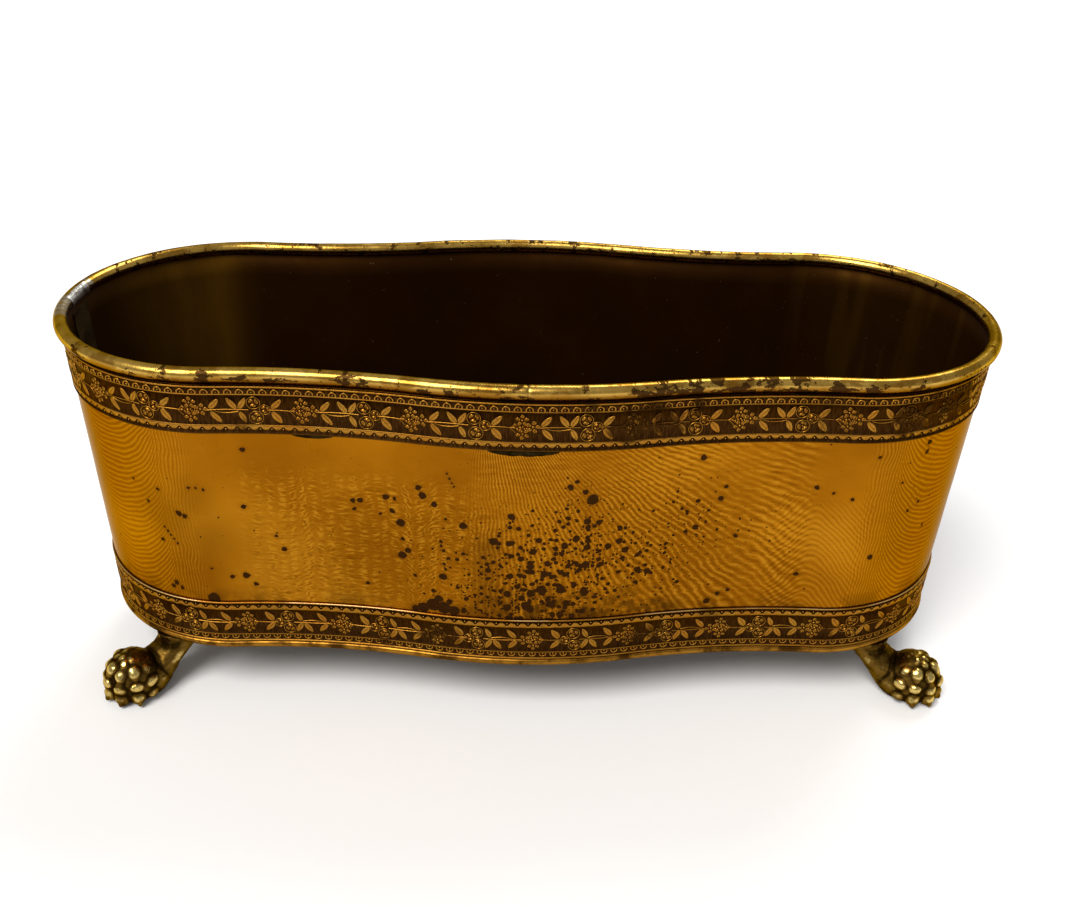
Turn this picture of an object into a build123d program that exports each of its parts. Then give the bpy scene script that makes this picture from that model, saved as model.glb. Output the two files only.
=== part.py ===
from build123d import *
from math import atan2, cos, degrees, hypot, radians, sin, sqrt
import os

os.makedirs("parts", exist_ok=True)

# Long brass planter on four lion-paw feet.
# Millimetres, +Z up, +X along the length, -Y is the front, origin on the floor under the middle.

# ---- Plan outline, along the centre of the rolled lip ----
lobe_centre_x = 124.0
lobe_radius = 66.0
half_width = 76.0
bulge_radius = 220.0
waist_radius = 300.0

# ---- Heights above the floor ----
plate_bottom = 25.0
plate_thickness = 1.0
wall_top = 153.05
lip_height = 155.5

# ---- Sheet wall ----
wall_thickness = 0.9
wall_lean = 0.055
wall_inset_at_lip = 0.2
hairline = 0.2
solder_film = 0.03

# ---- Rolled lip and its wire ----
lip_radius = 3.0
lip_sheet = 0.5
lip_slot_depth = 1.0
lip_wire_radius = 2.4
lip_joint_x = -3.0

# ---- Embossed strips ----
strip_width = 20.6
strip_sheet = 0.5
strip_raised = 0.65
strip_line = 0.8
strip_bead = 1.0
edge_line_width = 0.7
scallop_row_width = 3.3
inner_line_width = 0.5
arch_row_width = 2.5
top_bead_width = 0.9
upper_strip_foot = 130.4
lower_strip_foot = 28.3
strip_joint_x = 36.0

# ---- Closing seam of the wall, at the left-hand end ----
seam_angle = 5.0
strap_width = 14.0
strap_thickness = 0.6
strap_bottom = 29.0
strap_top = 150.0
repair_angle = 5.0
repair_length = 18.0
repair_thickness = 0.35

# ---- Base bead and solder ----
base_bead_height = 3.0
base_bead_out = 1.5
base_fillet = 1.5
run_height = 3.0
run_out = 0.9

# ---- Feet and what holds them ----
stud_x = 149.5
stud_y = 44.5
stud_radius = 2.0
stud_clearance = 0.05
stud_bottom = 19.5
stud_top = 31.5
plate_hole_radius = 2.2
washer_radius = 4.0
washer_thickness = 1.0
nut_across_corners = 8.08
nut_height = 3.2

# Height, distance ahead of the stud, half length and half breadth of each level of a foot.
foot_levels = (
    (0.0, 22.8, 8.6, 8.6),
    (5.0, 22.8, 11.8, 11.6),
    (10.0, 22.0, 12.0, 11.7),
    (14.0, 19.0, 11.7, 10.9),
    (18.0, 11.4, 10.4, 9.3),
    (21.5, 3.2, 9.0, 8.0),
    (25.0, 0.4, 9.3, 8.8),
)
paw_reach = 22.8
toe_angles = (-76.0, -38.0, 0.0, 38.0, 76.0)
knuckle_reach = 8.8
knuckle_height = 12.4
knuckle_radius = 3.8
toe_reach = 10.0
toe_height = 4.7
toe_radius = 3.7
claw_reach = 12.0
claw_radius = 1.7
claw_tip_radius = 0.5
claw_height = 4.4

# Centres of the bulge and waist arcs, found from tangency.
bulge_centre_y = half_width - bulge_radius
lobe_to_bulge = hypot(lobe_centre_x, bulge_centre_y)
waist_to_lobe = waist_radius + lobe_radius
waist_to_bulge = waist_radius + bulge_radius
along = (waist_to_bulge**2 - waist_to_lobe**2 + lobe_to_bulge**2) / (2 * lobe_to_bulge)
across = sqrt(waist_to_bulge**2 - along**2)
unit_x = lobe_centre_x / lobe_to_bulge
unit_y = -bulge_centre_y / lobe_to_bulge
waist_x = unit_x * along - unit_y * across
waist_y = bulge_centre_y + unit_y * along + unit_x * across
lobe_turn = degrees(atan2(waist_y, waist_x - lobe_centre_x))
bulge_turn = degrees(atan2(waist_y - bulge_centre_y, waist_x))
waist_turn = lobe_turn - bulge_turn
tip_x = lobe_centre_x + lobe_radius


def outline(inset):
    """The closed plan outline moved inwards by inset, anticlockwise from the right-hand tip."""
    lobe = lobe_radius - inset
    waist = waist_radius + inset
    bulge = bulge_radius - inset
    bulge_span = 180 - 2 * bulge_turn
    with BuildLine() as line:
        CenterArc((lobe_centre_x, 0), lobe, 0, lobe_turn)
        CenterArc((waist_x, waist_y), waist, 180 + lobe_turn, -waist_turn)
        CenterArc((0, bulge_centre_y), bulge, bulge_turn, bulge_span)
        CenterArc((-waist_x, waist_y), waist, -bulge_turn, -waist_turn)
        CenterArc((-lobe_centre_x, 0), lobe, 180 - lobe_turn, 2 * lobe_turn)
        CenterArc((-waist_x, -waist_y), waist, lobe_turn, -waist_turn)
        CenterArc((0, -bulge_centre_y), bulge, 180 + bulge_turn, bulge_span)
        CenterArc((waist_x, -waist_y), waist, 180 - bulge_turn, -waist_turn)
        CenterArc((lobe_centre_x, 0), lobe, -lobe_turn, lobe_turn)
    return line.wire()


lip_path = outline(0)


def wall_x(height, out=0.0):
    """X at the right-hand tip of a point standing out from the wall's outer face at a height."""
    return tip_x - wall_inset_at_lip - wall_lean * (lip_height - height) + out


def section(points):
    """A flat section at the right-hand tip, from (x, height) points, ready to carry round the outline."""
    with BuildSketch(Plane.XZ) as face:
        with BuildLine():
            Polyline(*points, close=True)
        make_face()
    return face.sketch


def layer(bottom, top, inner, outer):
    """Points of a thin layer on the wall between two heights and two distances from its outer face."""
    return (
        (wall_x(bottom, inner), bottom),
        (wall_x(bottom, outer), bottom),
        (wall_x(top, outer), top),
        (wall_x(top, inner), top),
    )


def strip_points(foot, upside_down):
    """Section of an embossed strip: edge line, scallop row, flower field, inner line, arch row, bead."""
    field_foot = edge_line_width + scallop_row_width
    arch_top = strip_width - top_bead_width
    arch_foot = arch_top - arch_row_width
    line_foot = arch_foot - inner_line_width
    steps = [
        (0.0, strip_line),
        (edge_line_width, strip_line),
        (edge_line_width, strip_raised),
        (field_foot, strip_raised),
        (field_foot, strip_sheet),
        (line_foot, strip_sheet),
        (line_foot, strip_line),
        (arch_foot, strip_line),
        (arch_foot, strip_sheet),
        (arch_top, strip_sheet),
        (arch_top, strip_bead),
        (strip_width, strip_bead),
    ]
    if upside_down:
        steps = [(strip_width - up, out) for up, out in reversed(steps)]
    top = foot + strip_width
    points = [(wall_x(foot + up, out), foot + up) for up, out in steps]
    points.append((wall_x(top, solder_film), top))
    points.append((wall_x(foot, solder_film), foot))
    return points


def foot_plane(x_sign, y_sign, splay, height):
    """Plane on a foot's stud axis, with its X pointing the way the toes point."""
    return Plane(
        origin=(x_sign * stud_x, y_sign * stud_y, height),
        x_dir=(x_sign * cos(radians(splay)), y_sign * sin(radians(splay)), 0),
        z_dir=(0, 0, 1),
    )


# ---- Body ----

# Sheet wall, standing on the floor plate and reaching up into the rolled lip.
wall_bottom = plate_bottom + plate_thickness
seam_place = Location((-lobe_centre_x, 0, lip_height / 2), (0, 0, 180 - seam_angle))
with BuildPart() as wall_sheet:
    sweep(sections=section(layer(wall_bottom, wall_top, -wall_thickness, 0)), path=lip_path)
    with Locations(seam_place):
        with Locations((lobe_radius, 0, 0)):
            Box(40, hairline, 2 * lip_height, mode=Mode.SUBTRACT)
wall_sheet.part.label = "wall_sheet"
export_step(wall_sheet.part, "parts/wall_sheet.step")

# Strap soldered over the wall's closing seam, inside the left-hand end.
strap_outer = -wall_thickness - solder_film
strap_inner = strap_outer - strap_thickness
with BuildPart() as wall_seam_strap:
    sweep(sections=section(layer(strap_bottom, strap_top, strap_inner, strap_outer)), path=lip_path)
    with Locations(seam_place):
        with Locations((lobe_radius, 0, 0)):
            Box(40, strap_width, 2 * lip_height, mode=Mode.INTERSECT)
wall_seam_strap.part.label = "wall_seam_strap"
export_step(wall_seam_strap.part, "parts/wall_seam_strap.step")

# Rolled lip: a slit tube over the wall's top edge, butt-jointed near the middle of the front.
slot_inner = wall_x(wall_top, -wall_thickness - 2 * solder_film)
slot_outer = wall_x(wall_top, 2 * solder_film)
with BuildPart() as rim_roll:
    with BuildSketch(Plane.XZ):
        with Locations((tip_x, lip_height)):
            Circle(lip_radius)
            Circle(lip_radius - lip_sheet, mode=Mode.SUBTRACT)
        with Locations(((slot_inner + slot_outer) / 2, lip_height - lip_radius)):
            Rectangle(slot_outer - slot_inner, 2 * lip_slot_depth, mode=Mode.SUBTRACT)
    sweep(path=lip_path)
    with Locations((lip_joint_x, -half_width, lip_height)):
        Box(hairline, 20, 20, mode=Mode.SUBTRACT)
rim_roll.part.label = "rim_roll"
export_step(rim_roll.part, "parts/rim_roll.step")

# Wire that the lip is closed around.
with BuildPart() as rim_wire:
    with BuildSketch(Plane.XZ):
        with Locations((tip_x, lip_height)):
            Circle(lip_wire_radius)
    sweep(path=lip_path)
rim_wire.part.label = "rim_wire"
export_step(rim_wire.part, "parts/rim_wire.step")

# Solder repair smeared over the top and inside of the lip, near the wall's seam.
repair_place = Location((-lobe_centre_x, 0, lip_height), (0, 0, 180 - repair_angle))
with BuildPart() as rim_repair_solder:
    with BuildSketch(Plane.XZ):
        with Locations((tip_x, lip_height)):
            Circle(lip_radius + solder_film + repair_thickness)
            Circle(lip_radius + solder_film, mode=Mode.SUBTRACT)
            with Locations((-lip_radius, lip_radius)):
                Rectangle(2.4 * lip_radius, 2 * lip_radius, mode=Mode.INTERSECT)
    sweep(path=lip_path)
    with Locations(repair_place):
        with Locations((lobe_radius, 0, 0)):
            Box(40, repair_length, 20, mode=Mode.INTERSECT)
rim_repair_solder.part.label = "rim_repair_solder"
export_step(rim_repair_solder.part, "parts/rim_repair_solder.step")

# The two embossed strips, the lower one upside down, each with a butt joint at the rear.
for strip_name, strip_foot, turned in (
    ("upper_band", upper_strip_foot, False),
    ("lower_band", lower_strip_foot, True),
):
    with BuildPart() as band:
        sweep(sections=section(strip_points(strip_foot, turned)), path=lip_path)
        with Locations((strip_joint_x, half_width, strip_foot)):
            Box(hairline, 40, 3 * strip_width, mode=Mode.SUBTRACT)
    band.part.label = strip_name
    export_step(band.part, f"parts/{strip_name}.step")

# Solder that ran out under the upper strip, at the middle and at the left of the front.
run_top = upper_strip_foot - solder_film
run_foot = run_top - run_height
run_points = (
    (wall_x(run_foot, solder_film), run_foot),
    (wall_x(run_foot, run_out / 3), run_foot),
    (wall_x(run_foot + run_height / 2, run_out), run_foot + run_height / 2),
    (wall_x(run_top, run_out), run_top),
    (wall_x(run_top, solder_film), run_top),
)
for run_name, run_x, run_half_length, run_drop in (
    ("upper_band_solder_centre", -4.0, 14.0, 2.6),
    ("upper_band_solder_left", -84.0, 8.0, 1.6),
):
    with BuildPart() as run:
        sweep(sections=section(run_points), path=lip_path)
        with BuildSketch(Plane.XZ):
            with Locations((run_x, run_top)):
                Ellipse(run_half_length, run_drop)
        extrude(amount=2 * half_width, mode=Mode.INTERSECT)
    run.part.label = run_name
    export_step(run.part, f"parts/{run_name}.step")

# ---- Base ----

bead_flat_x = wall_x(plate_bottom + base_bead_height, solder_film)

# Floor plate under the wall, with a hole for each foot's stud.
with BuildPart() as base_plate:
    with BuildSketch(Plane.XY.offset(plate_bottom)):
        make_face(outline(tip_x - bead_flat_x + solder_film).edges())
        with GridLocations(2 * stud_x, 2 * stud_y, 2, 2):
            Circle(plate_hole_radius, mode=Mode.SUBTRACT)
    extrude(amount=plate_thickness)
base_plate.part.label = "base_plate"
export_step(base_plate.part, "parts/base_plate.step")

# Half-round bead round the foot of the wall.
bead_middle = plate_bottom + base_bead_height / 2
with BuildPart() as base_bead:
    with BuildSketch(Plane.XZ):
        with BuildLine():
            Line((bead_flat_x, plate_bottom), (bead_flat_x, plate_bottom + base_bead_height))
            ThreePointArc(
                (bead_flat_x, plate_bottom + base_bead_height),
                (bead_flat_x + base_bead_out, bead_middle),
                (bead_flat_x, plate_bottom),
            )
        make_face()
    sweep(path=lip_path)
base_bead.part.label = "base_bead"
export_step(base_bead.part, "parts/base_bead.step")

# Solder fillet that seals the wall to the floor plate, inside.
fillet_foot = wall_bottom + solder_film
fillet_top = fillet_foot + base_fillet
fillet_x = wall_x(fillet_foot, -wall_thickness - solder_film)
with BuildPart() as base_seam_solder:
    with BuildSketch(Plane.XZ):
        with BuildLine():
            Line((fillet_x - base_fillet, fillet_foot), (fillet_x, fillet_foot))
            Line((fillet_x, fillet_foot), (wall_x(fillet_top, -wall_thickness - solder_film), fillet_top))
            RadiusArc(
                (wall_x(fillet_top, -wall_thickness - solder_film), fillet_top),
                (fillet_x - base_fillet, fillet_foot),
                -2 * base_fillet,
            )
        make_face()
    sweep(path=lip_path)
base_seam_solder.part.label = "base_seam_solder"
export_step(base_seam_solder.part, "parts/base_seam_solder.step")

# ---- Feet: each a casting, a stud, a washer and a nut ----

# The castings were turned a little differently on their studs when they were fitted.
for corner, x_sign, y_sign, splay in (
    ("front_left", -1, -1, 38.0),
    ("front_right", 1, -1, 26.0),
    ("rear_left", -1, 1, 32.0),
    ("rear_right", 1, 1, 32.0),
):
    # Cast lion paw: a rounded paw with five clawed toes, and an ankle that leans in under the floor plate.
    with BuildPart() as foot:
        for height, ahead, half_length, half_breadth in foot_levels:
            with BuildSketch(foot_plane(x_sign, y_sign, splay, height)):
                with Locations((ahead, 0)):
                    Ellipse(half_length, half_breadth)
        loft()
        with Locations(foot_plane(x_sign, y_sign, splay, 0)):
            for toe_angle in toe_angles:
                toe_x = cos(radians(toe_angle))
                toe_y = sin(radians(toe_angle))
                with Locations((paw_reach + knuckle_reach * toe_x, knuckle_reach * toe_y, knuckle_height)):
                    Sphere(knuckle_radius)
                with Locations((paw_reach + toe_reach * toe_x, toe_reach * toe_y, toe_height)):
                    Sphere(toe_radius)
                with Locations((paw_reach + claw_reach * toe_x, claw_reach * toe_y, claw_height / 2)):
                    Cone(claw_tip_radius, claw_radius, claw_height)
        with BuildSketch(foot_plane(x_sign, y_sign, splay, stud_bottom - stud_clearance)):
            Circle(stud_radius + stud_clearance)
        extrude(amount=plate_bottom - stud_bottom + stud_clearance, mode=Mode.SUBTRACT)
    foot.part.label = f"foot_{corner}"
    export_step(foot.part, f"parts/foot_{corner}.step")

    # Threaded stud from the ankle up through the floor plate.
    with BuildPart() as stud:
        with BuildSketch(foot_plane(x_sign, y_sign, splay, stud_bottom)):
            Circle(stud_radius)
        extrude(amount=stud_top - stud_bottom)
    stud.part.label = f"foot_stud_{corner}"
    export_step(stud.part, f"parts/foot_stud_{corner}.step")

    # Flat washer on the floor plate.
    with BuildPart() as washer:
        with BuildSketch(foot_plane(x_sign, y_sign, splay, wall_bottom)):
            Circle(washer_radius)
            Circle(plate_hole_radius, mode=Mode.SUBTRACT)
        extrude(amount=washer_thickness)
    washer.part.label = f"foot_washer_{corner}"
    export_step(washer.part, f"parts/foot_washer_{corner}.step")

    # Hexagon nut on the washer.
    with BuildPart() as nut:
        with BuildSketch(foot_plane(x_sign, y_sign, splay, wall_bottom + washer_thickness)):
            RegularPolygon(nut_across_corners / 2, 6)
            Circle(stud_radius + stud_clearance, mode=Mode.SUBTRACT)
        extrude(amount=nut_height)
    nut.part.label = f"foot_nut_{corner}"
    export_step(nut.part, f"parts/foot_nut_{corner}.step")
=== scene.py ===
from math import atan2, cos, hypot, pi, radians, sin, sqrt

import bmesh
import bpy
import numpy as np
from mathutils import Matrix, Vector, noise


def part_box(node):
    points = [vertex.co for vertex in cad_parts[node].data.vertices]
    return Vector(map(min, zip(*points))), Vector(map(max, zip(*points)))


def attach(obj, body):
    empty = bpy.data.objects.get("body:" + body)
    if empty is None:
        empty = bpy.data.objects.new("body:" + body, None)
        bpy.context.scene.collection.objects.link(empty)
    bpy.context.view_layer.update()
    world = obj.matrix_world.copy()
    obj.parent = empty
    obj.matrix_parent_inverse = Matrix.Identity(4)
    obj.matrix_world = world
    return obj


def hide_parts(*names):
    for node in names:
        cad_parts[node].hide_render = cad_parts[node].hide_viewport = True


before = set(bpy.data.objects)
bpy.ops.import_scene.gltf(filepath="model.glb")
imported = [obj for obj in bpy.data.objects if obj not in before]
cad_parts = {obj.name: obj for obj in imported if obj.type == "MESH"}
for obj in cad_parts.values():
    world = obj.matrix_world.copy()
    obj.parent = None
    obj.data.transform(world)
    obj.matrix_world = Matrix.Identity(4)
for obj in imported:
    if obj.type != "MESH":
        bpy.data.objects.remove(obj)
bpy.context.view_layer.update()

MM = 0.001

# ---- Sizes from the frame, in metres ----
rim_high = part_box("rim_roll")[1]
wire_low, wire_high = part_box("rim_wire")
wall_low, wall_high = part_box("wall_sheet")
plate_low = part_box("base_plate")[0]
bead_low, bead_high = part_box("base_bead")
repair_low, repair_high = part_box("rim_repair_solder")
lip_z = (wire_low.z + wire_high.z) / 2
lip_radius = rim_high.z - lip_z
tip_x = rim_high.x - lip_radius
half_width = rim_high.y - lip_radius
repair_thickness = repair_high.z - rim_high.z

# ---- Plan and wall, as they are in the CAD ----
lobe_radius = 66 * MM
bulge_radius = 220 * MM
waist_radius = 300 * MM
lobe_x = tip_x - lobe_radius
wall_lean = 0.055
wall_thickness = 0.9 * MM
strip_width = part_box("upper_band")[1].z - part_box("upper_band")[0].z
hairline = 0.2 * MM
seam_angle = radians(5)
lip_joint_x = -3 * MM
strip_joint_x = 36 * MM


def outline_arcs():
    """The lip's centre line, anticlockwise from the front: each arc's centre, radius, start and sweep."""
    bulge_y = half_width - bulge_radius
    to_bulge = hypot(lobe_x, bulge_y)
    waist_to_bulge = waist_radius + bulge_radius
    waist_to_lobe = waist_radius + lobe_radius
    along = (waist_to_bulge**2 - waist_to_lobe**2 + to_bulge**2) / (2 * to_bulge)
    across = sqrt(waist_to_bulge**2 - along**2)
    waist_x = (lobe_x * along + bulge_y * across) / to_bulge
    waist_y = bulge_y + (lobe_x * across - bulge_y * along) / to_bulge
    lobe_turn = atan2(waist_y, waist_x - lobe_x)
    bulge_turn = atan2(waist_y - bulge_y, waist_x)
    waist_turn = lobe_turn - bulge_turn
    return np.array([
        (0, -bulge_y, bulge_radius, 1.5 * pi, pi / 2 - bulge_turn),
        (waist_x, -waist_y, waist_radius, pi - bulge_turn, -waist_turn),
        (lobe_x, 0, lobe_radius, -lobe_turn, 2 * lobe_turn),
        (waist_x, waist_y, waist_radius, pi + lobe_turn, -waist_turn),
        (0, bulge_y, bulge_radius, bulge_turn, pi - 2 * bulge_turn),
        (-waist_x, waist_y, waist_radius, -bulge_turn, -waist_turn),
        (-lobe_x, 0, lobe_radius, pi - lobe_turn, 2 * lobe_turn),
        (-waist_x, -waist_y, waist_radius, lobe_turn, -waist_turn),
        (0, -bulge_y, bulge_radius, pi + bulge_turn, pi / 2 - bulge_turn),
    ])


arcs = outline_arcs()


def directions(angles):
    """Unit vectors at the angles, one a row."""
    return np.stack([np.cos(angles), np.sin(angles)], axis=1)


def arc_lengths(inset):
    """Lengths of the outline's arcs when it is moved inwards by inset."""
    return (arcs[:, 2] - np.sign(arcs[:, 4]) * inset) * np.abs(arcs[:, 4])


def on_outline(distance, inset=0.0):
    """Points and outward normals at distances round the inset outline from the middle of the front."""
    lengths = arc_lengths(inset)
    ends = np.cumsum(lengths)
    distance = np.mod(np.asarray(distance, float), ends[-1])
    arc = np.minimum(np.searchsorted(ends, distance, side="right"), len(arcs) - 1)
    share = (distance - ends[arc] + lengths[arc]) / lengths[arc]
    centre_x, centre_y, radius, start, sweep = arcs[arc].T
    direction = directions(start + sweep * share)
    outwards = np.sign(sweep)
    reach = radius - outwards * inset
    points = np.stack([centre_x, centre_y], axis=1) + reach[:, None] * direction
    return points, outwards[:, None] * direction


round_lip = arc_lengths(0.0).sum()
to_tip = arc_lengths(0.0)[:2].sum() + arc_lengths(0.0)[2] / 2
seam_distance = -to_tip - lobe_radius * seam_angle


def wall_inset(height, out=0.0):
    """How far in from the lip's centre line a point is that stands out from the wall's outer face."""
    return tip_x - wall_high.x + wall_lean * (wall_high.z - height) - out


# ---- Mesh helpers ----


def make_piece(name, points, faces, look=None, node=None):
    """A smooth mesh object. With a node, it rides on the pot in place of that node."""
    mesh = bpy.data.meshes.new(name)
    mesh.from_pydata(np.asarray(points).tolist(), [], [tuple(face) for face in faces])
    mesh.validate()
    piece = bpy.data.objects.new(name, mesh)
    bpy.context.scene.collection.objects.link(piece)
    mesh.polygons.foreach_set("use_smooth", [True] * len(mesh.polygons))
    if look:
        mesh.materials.append(look)
    if node:
        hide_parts(node)
        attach(piece, "root")
    return piece


def set_attributes(piece, **values):
    """Stores one number per vertex under each name, for the material to read."""
    for name, numbers in values.items():
        attribute = piece.data.attributes.new(name, "FLOAT", "POINT")
        attribute.data.foreach_set("value", np.asarray(numbers, np.float32))


def grid_faces(rows, columns, round_rows=False, round_columns=False):
    """Four-sided faces of a grid of points, row by row, closed on itself where asked."""
    row = np.arange(rows if round_rows else rows - 1)[:, None]
    column = np.arange(columns if round_columns else columns - 1)[None, :]
    next_row = (row + 1) % rows
    next_column = (column + 1) % columns
    corners = (
        row * columns + column,
        next_row * columns + column,
        next_row * columns + next_column,
        row * columns + next_column,
    )
    return np.stack(corners, axis=-1).reshape(-1, 4)


def sweep_section(distances, insets, heights):
    """Points of a section carried round the outline. insets and heights broadcast over distances."""
    base, normal = on_outline(distances)
    count = len(distances)
    insets = np.broadcast_to(insets, (count, np.shape(insets)[-1]))
    heights = np.broadcast_to(heights, insets.shape)
    plan = base[:, None, :] - insets[:, :, None] * normal[:, None, :]
    return np.concatenate([plan, heights[:, :, None]], axis=2).reshape(-1, 3)


def make_sweep(name, distances, insets, heights, look, node, slot, **closed):
    """A piece with a section carried round the outline. closed says which ways the grid is closed."""
    points = sweep_section(distances, insets, heights)
    return make_piece(name, points, grid_faces(*insets.shape, **closed), look, node)


def lumps(distances, heights, scale, seed):
    """Smooth noise between -1 and 1 over the wall, the same on every run."""
    distances, heights = np.broadcast_arrays(distances, heights)
    places = zip(distances.ravel(), heights.ravel())
    values = [noise.noise(Vector((along / scale, up / scale, seed))) for along, up in places]
    return np.array(values).reshape(distances.shape)


# ---- Node materials ----


class Look:
    """Builds one procedural material, with short calls for the nodes that it uses."""

    def __init__(self, name):
        self.material = bpy.data.materials.new(name)
        self.material.use_nodes = True
        self.tree = self.material.node_tree
        self.shader = self.tree.nodes["Principled BSDF"]

    def plug(self, node, inputs):
        for key, value in inputs.items():
            if isinstance(value, bpy.types.NodeSocket):
                self.tree.links.new(value, node.inputs[key])
            elif value is not None:
                node.inputs[key].default_value = value
        return node

    def add(self, kind, operation=None):
        """A new node of a kind, such as Math, and the operation that it does."""
        node = self.tree.nodes.new("ShaderNode" + kind)
        if operation:
            node.operation = operation
        return node

    def math(self, operation, first, second=None, third=None, clamp=False):
        node = self.add("Math", operation)
        node.use_clamp = clamp
        return self.plug(node, {0: first, 1: second, 2: third}).outputs[0]

    def times(self, first, second):
        return self.math("MULTIPLY", first, second)

    def times_plus(self, first, second, third, clamp=False):
        return self.math("MULTIPLY_ADD", first, second, third, clamp)

    def plus(self, first, second):
        return self.math("ADD", first, second)

    def minus(self, first, second):
        return self.math("SUBTRACT", first, second)

    def larger(self, first, second):
        return self.math("MAXIMUM", first, second)

    def waves(self, value, rate):
        """Fine lines: the sine of the value times a rate."""
        return self.math("SINE", self.times(value, rate))

    def attribute(self, name):
        node = self.add("Attribute")
        node.attribute_name = name
        return node.outputs["Fac"]

    def on_wall(self):
        """Where a point is on the unrolled wall, in metres: along, up, and the two as one vector."""
        along = self.attribute("along")
        up = self.attribute("up")
        return along, up, self.join(along, up)

    def place(self):
        """The point on the object, in metres."""
        return self.add("TexCoord").outputs["Object"]

    def join(self, x, y, z=0.0):
        return self.plug(self.add("CombineXYZ"), {0: x, 1: y, 2: z}).outputs[0]

    def parts(self, vector):
        return self.plug(self.add("SeparateXYZ"), {0: vector}).outputs

    def noise(self, vector, scale, detail=3.0, roughness=0.55, distortion=0.0):
        inputs = {
            "Vector": vector,
            "Scale": scale,
            "Detail": detail,
            "Roughness": roughness,
            "Distortion": distortion,
        }
        return self.plug(self.add("TexNoise"), inputs).outputs["Fac"]

    def cells(self, vector, scale):
        """Distance to the nearest cell point, and a random number for that cell."""
        node = self.add("TexVoronoi")
        node.voronoi_dimensions = "2D"
        self.plug(node, {"Vector": vector, "Scale": scale})
        return node.outputs["Distance"], self.parts(node.outputs["Color"])[0]

    def stretch(self, vector, x, y, z=1.0):
        return self.plug(self.add("VectorMath", "MULTIPLY"), {0: vector, 1: (x, y, z)}).outputs[0]

    def step(self, value, low, high):
        """0 below low, 1 above high and smooth between. high may be below low."""
        node = self.add("MapRange")
        node.interpolation_type = "SMOOTHSTEP"
        return self.plug(node, {"Value": value, "From Min": low, "From Max": high}).outputs[0]

    def between(self, value, first, second):
        """1 in a zone with two soft edges, each given as (where it is 0, where it is 1)."""
        return self.times(self.step(value, *first), self.step(value, *second))

    def patches(self, vector, scale, detail, low, high):
        """Noise sharpened into patches: 0 where it is below low and 1 where it is above high."""
        return self.step(self.noise(vector, scale, detail), low, high)

    def mix(self, share, first, second):
        node = self.add("Mix")
        node.data_type = "RGBA"
        inputs = {"Factor": share, 6: self.colour(first), 7: self.colour(second)}
        return self.plug(node, inputs).outputs[2]

    def paint(self, colour, where, strength, second):
        """The colour with a second one over it where asked, no stronger than strength."""
        return self.mix(self.times(where, strength), colour, second)

    def blend(self, share, first, second):
        return self.plug(self.add("Mix"), {"Factor": share, 2: first, 3: second}).outputs[0]

    @staticmethod
    def colour(value):
        return (*value, 1.0) if isinstance(value, tuple) and len(value) == 3 else value

    def wander(self, vector, scale, amount):
        """The vector pushed about by noise, so that edges drawn from it are uneven."""
        inputs = {"Vector": vector, "Scale": scale, "Detail": 2.0}
        colour = self.plug(self.add("TexNoise"), inputs).outputs["Color"]
        shift = self.plug(self.add("VectorMath", "SUBTRACT"), {0: colour, 1: (0.5, 0.5, 0.5)}).outputs[0]
        scaled = self.stretch(shift, amount, amount, amount)
        return self.plug(self.add("VectorMath"), {0: vector, 1: scaled}).outputs[0]

    def spots(self, vector, places):
        """Highest of radius minus distance over (along, up, radius) spots, in metres."""
        highest = None
        for along, up, radius in places:
            gap = self.plug(self.add("VectorMath", "DISTANCE"), {0: vector, 1: (along, up, 0.0)})
            inside = self.minus(radius, gap.outputs["Value"])
            highest = inside if highest is None else self.larger(highest, inside)
        return highest

    def zone(self, vector, scale, amount, places, low, high):
        """The spots with ragged edges: 0 where low deep or less, and 1 where high deep or more."""
        return self.step(self.spots(self.wander(vector, scale, amount), places), low, high)

    def finish(self, colour, metallic, roughness, bumps=(), edge=None):
        """Connects the shader. bumps are (height, strength, distance) in metres, one over the other."""
        normal = None
        for height, strength, distance in bumps:
            inputs = {"Height": height, "Strength": strength, "Distance": distance, "Normal": normal}
            normal = self.plug(self.add("Bump"), inputs).outputs[0]
        inputs = {
            "Base Color": self.colour(colour),
            "Metallic": metallic,
            "Roughness": roughness,
            "Normal": normal,
            "Specular Tint": self.colour(edge),
        }
        self.plug(self.shader, inputs)
        return self.material


def in_metres(*places):
    """Spots given as (along, up, radius) in millimetres."""
    return [tuple(part * MM for part in place) for place in places]


# Colours are linear red, green and blue. The two edge colours show where metal is seen edge-on.
brass_edge = (0.66, 0.51, 0.27)
patina_edge = (0.60, 0.34, 0.12)
amber = (0.35, 0.125, 0.0030)
deep_amber = (0.24, 0.080, 0.0018)
pale_amber = (0.46, 0.190, 0.0080)
# These two colours paint a reflection of wood grain as fine dark and light lines on the wall.
reflection_dark = (0.150, 0.045, 0.0010)
reflection_bright = (0.56, 0.250, 0.0140)
shade_amber = (0.150, 0.052, 0.0012)
halo_brown = (0.13, 0.040, 0.0015)
foot_brown = (0.070, 0.024, 0.002)
low_stain = (0.060, 0.021, 0.002)
smear_brown = (0.10, 0.034, 0.002)
tarnish = (0.024, 0.009, 0.0025)
tarnish_brown = (0.050, 0.019, 0.005)
gap_shadow = (0.006, 0.002, 0.0005)
patina = (0.015, 0.0047, 0.0006)
patina_cloud = (0.022, 0.0070, 0.0008)
patina_left = (0.052, 0.0210, 0.0018)
patina_right = (0.036, 0.0150, 0.0012)
patina_speck = (0.16, 0.10, 0.05)
olive = (0.090, 0.0390, 0.0030)
bright_gold = (0.60, 0.37, 0.075)
rubbed_gold = (0.34, 0.185, 0.028)
lip_underside_shade = (0.21, 0.080, 0.0060)
worn_brown = (0.060, 0.024, 0.005)
stain_brown = (0.038, 0.015, 0.0045)
old_amber = (0.24, 0.098, 0.008)
wiped_solder = (0.50, 0.475, 0.40)
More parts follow.
